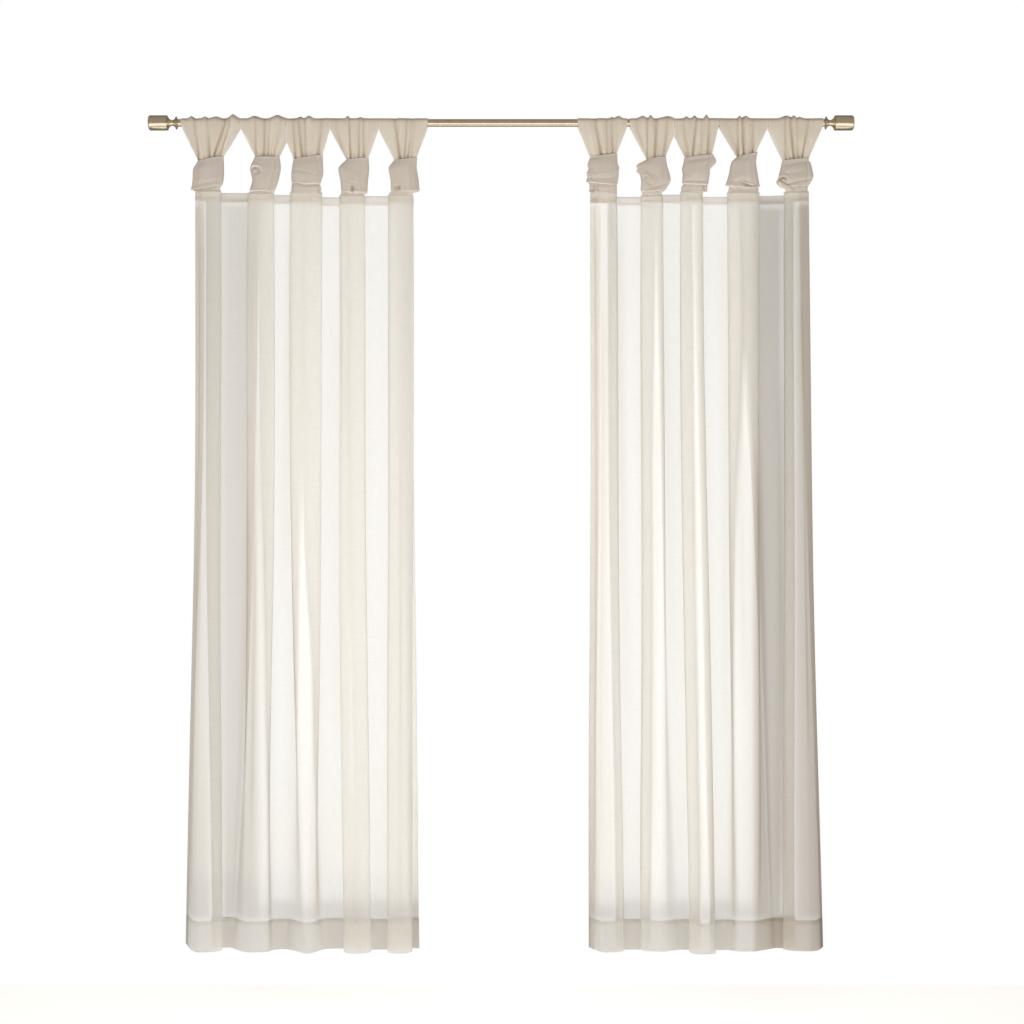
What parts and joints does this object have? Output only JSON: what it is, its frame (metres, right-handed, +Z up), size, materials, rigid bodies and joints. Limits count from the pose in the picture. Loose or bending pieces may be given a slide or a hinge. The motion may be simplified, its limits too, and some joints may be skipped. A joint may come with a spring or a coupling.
{
  "type": "sheer voile curtain pair on a metal rod",
  "caption": "Sheer voile curtain panels with twisted tab tops, hanging in soft folds from a round metal rod with turned cap finials.",
  "frame": {"origin": "on the rod's axis, at the middle of its length", "axes": "+X along the rod to the right as seen from the room, +Z up, and the side that faces the room is -Y"},
  "size_m": [1.795, 0.0722, 2.137],
  "materials": {
    "rod_metal": "satin champagne",
    "voile": "sheer plain weave",
    "tab_voile": "doubled sheer weave",
    "wrap_voile": "layered sheer weave"
  },
  "bodies": {
    "root": {"rod": "rod_metal", "finial_left": "rod_metal", "finial_right": "rod_metal", "panel_left": "voile", "panel_right": "voile", "tab_left_1": "tab_voile", "tab_left_2": "tab_voile", "tab_left_3": "tab_voile", "tab_left_4": "tab_voile", "tab_left_5": "tab_voile", "tab_right_1": "tab_voile", "tab_right_2": "tab_voile", "tab_right_3": "tab_voile", "tab_right_4": "tab_voile", "tab_right_5": "tab_voile", "wrap_left_1": "wrap_voile", "wrap_left_2": "wrap_voile", "wrap_left_3": "wrap_voile", "wrap_left_4": "wrap_voile", "wrap_left_5": "wrap_voile", "wrap_right_1": "wrap_voile", "wrap_right_2": "wrap_voile", "wrap_right_3": "wrap_voile", "wrap_right_4": "wrap_voile", "wrap_right_5": "wrap_voile"}
  },
  "joints": []
}
